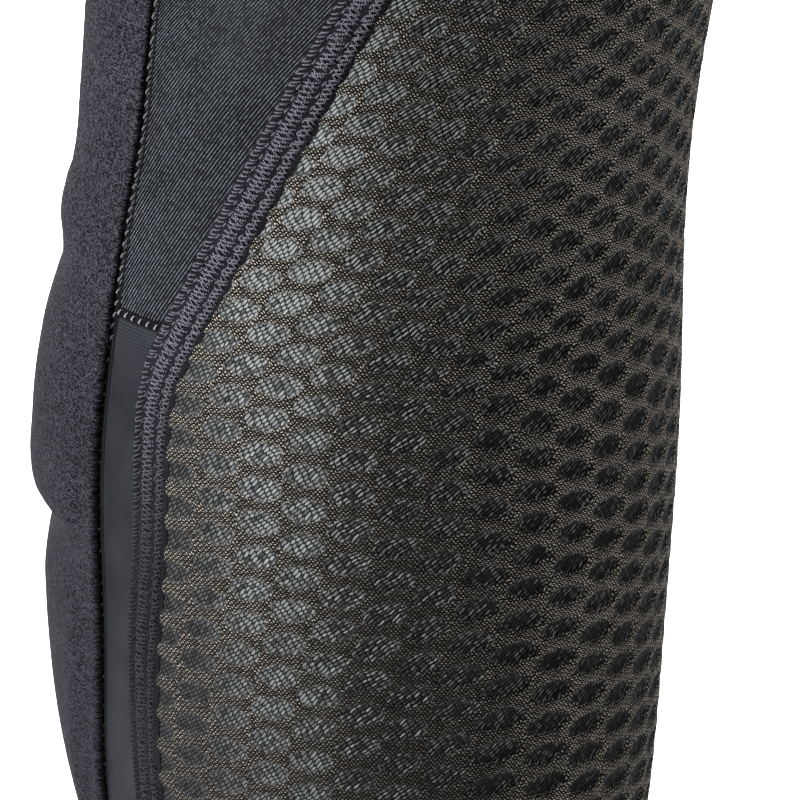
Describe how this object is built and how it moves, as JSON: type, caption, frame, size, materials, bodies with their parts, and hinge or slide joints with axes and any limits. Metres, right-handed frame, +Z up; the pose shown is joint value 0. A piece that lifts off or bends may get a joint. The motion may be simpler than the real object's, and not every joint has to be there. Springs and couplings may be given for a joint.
{
  "type": "wrist guard",
  "caption": "Long pull-on wrist guard for snow sports: mesh sleeve with a padded back, splints, stretch gussets, a thumb hole and a peel-open wrist strap.",
  "frame": {"origin": "on the limb's axis, in the plane of the hand end", "axes": "+Z up the limb towards the elbow, +X towards the thumb side, -Y towards the padded back of the hand"},
  "size_m": [0.0894, 0.1013, 0.29],
  "materials": {
    "spacer_mesh": "bronze-black three-dimensional spacer knit",
    "lining_knit": "plain fine knit",
    "smooth_knit": "smooth slate stretch knit",
    "satin_rib": "satin tricot with a diagonal rib",
    "flatlock_thread": "bulky overlock thread",
    "lock_thread": "polyester thread",
    "splint_plastic": "moulded sheet",
    "grip_suede": "synthetic suede",
    "foam": "closed-cell foam",
    "brushed_knit": "brushed charcoal knit",
    "elastic_knit": "ribbed elastic knit",
    "silicone": "soft silicone",
    "binding_tape": "folded stretch tape",
    "webbing": "woven webbing",
    "loop_tape": "brushed loop tape",
    "hook_tape": "hook tape",
    "pull_rubber": "moulded rubber"
  },
  "bodies": {
    "root": {"mesh_panel": "spacer_mesh", "dorsal_lining": "lining_knit", "lower_gusset_radial": "smooth_knit", "lower_gusset_ulnar": "smooth_knit", "upper_gusset_radial": "satin_rib", "upper_gusset_ulnar": "satin_rib", "flatlock_seam_radial": "flatlock_thread", "flatlock_seam_ulnar": "flatlock_thread", "edge_seam_radial": "lock_thread", "edge_seam_ulnar": "lock_thread", "gusset_cross_seam_radial": "lock_thread", "gusset_cross_seam_ulnar": "lock_thread", "dorsal_splint": "splint_plastic", "palmar_splint": "splint_plastic", "palmar_pocket": "grip_suede", "foam_base": "foam", "hand_pad": "foam", "forearm_pad_lower": "foam", "forearm_pad_middle": "foam", "forearm_pad_upper": "foam", "dorsal_cover": "brushed_knit", "hand_hem": "elastic_knit", "cuff_band": "elastic_knit", "cuff_gripper": "silicone", "thumb_binding": "binding_tape", "wrist_strap": "webbing", "loop_patch": "loop_tape", "anchor_stitch": "lock_thread"},
    "strap_tab": {"strap_tab": "webbing", "hook_patch": "hook_tape", "pull_tab": "pull_rubber"}
  },
  "joints": [
    {"name": "strap_peel", "type": "hinge", "parent": "root", "child": "strap_tab", "pos_m": [0.02099, -0.02837, 0.063], "axis": [0, 0, 1], "range_deg": [0, 100]}
  ]
}
